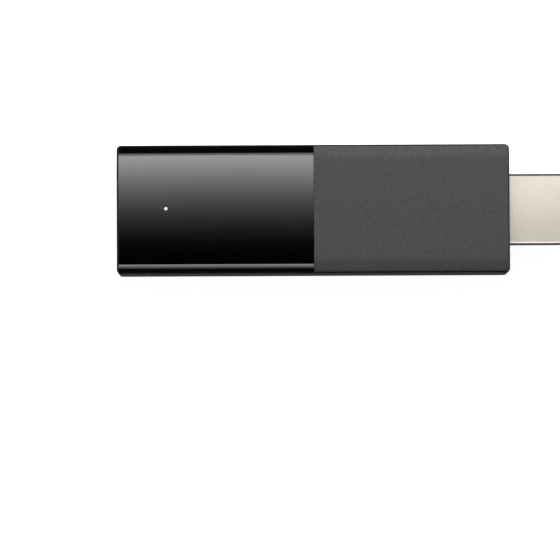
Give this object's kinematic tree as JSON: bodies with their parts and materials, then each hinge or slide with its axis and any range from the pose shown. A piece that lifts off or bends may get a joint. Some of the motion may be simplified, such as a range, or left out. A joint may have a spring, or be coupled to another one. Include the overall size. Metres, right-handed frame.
{
  "type": "streaming media player",
  "caption": "Stick-shaped streaming media player: flat bar casing with a bevelled two-part front, a video plug at one end and a power socket at the other.",
  "frame": {"origin": "under the middle of the whole stick, plug included, on the flat back that it lies on", "axes": "+X along the stick, from the power socket in the tail to the video plug at the nose; +Y across; +Z out of the front face"},
  "size_m": [0.0888, 0.0252, 0.0127],
  "materials": {
    "gloss_black": "mirror-smooth piano black",
    "matte_grey": "fine spark-eroded texture",
    "light_white": "clear white, smooth",
    "plug_steel": "satin, with a fine speckle",
    "gold_plate": "bright plating",
    "black_resin": "moulded, satin",
    "tinned_sheet": "tinned, satin",
    "circuit_board": "green solder mask, satin",
    "chip_resin": "moulded, matte",
    "ferrite": "fired, matte",
    "ceramic": "fired, satin",
    "thermal_pad": "soft, matte",
    "aluminium": "rolled sheet, satin"
  },
  "bodies": {
    "root": {"front_cover_gloss": "gloss_black", "front_cover_matte": "matte_grey", "rear_cover": "matte_grey", "light_pipe": "light_white", "status_led": "light_white", "video_plug_shell": "plug_steel", "video_contact_01": "gold_plate", "video_contact_02": "gold_plate", "video_contact_03": "gold_plate", "video_contact_04": "gold_plate", "video_contact_05": "gold_plate", "video_contact_06": "gold_plate", "video_contact_07": "gold_plate", "video_contact_08": "gold_plate", "video_contact_09": "gold_plate", "video_contact_10": "gold_plate", "video_contact_11": "gold_plate", "video_contact_12": "gold_plate", "video_contact_13": "gold_plate", "video_contact_14": "gold_plate", "video_contact_15": "gold_plate", "video_contact_16": "gold_plate", "video_contact_17": "gold_plate", "video_contact_18": "gold_plate", "video_contact_19": "gold_plate", "power_contact_1": "gold_plate", "power_contact_2": "gold_plate", "power_contact_3": "gold_plate", "power_contact_4": "gold_plate", "power_contact_5": "gold_plate", "video_plug_insulator": "black_resin", "power_socket_tongue": "black_resin", "power_socket_shell": "tinned_sheet", "shield_frame": "tinned_sheet", "shield_lid": "tinned_sheet", "radio_can": "tinned_sheet", "antenna_upper": "tinned_sheet", "antenna_lower": "tinned_sheet", "crystal": "tinned_sheet", "main_board": "circuit_board", "radio_module": "circuit_board", "processor": "chip_resin", "memory_chip_1": "chip_resin", "memory_chip_2": "chip_resin", "storage_chip": "chip_resin", "power_chip": "chip_resin", "coil_1": "ferrite", "coil_2": "ferrite", "coil_3": "ferrite", "capacitor_1": "ceramic", "capacitor_2": "ceramic", "capacitor_3": "ceramic", "capacitor_4": "ceramic", "thermal_pad_inner": "thermal_pad", "thermal_pad_outer": "thermal_pad", "heat_spreader": "aluminium"}
  },
  "joints": []
}
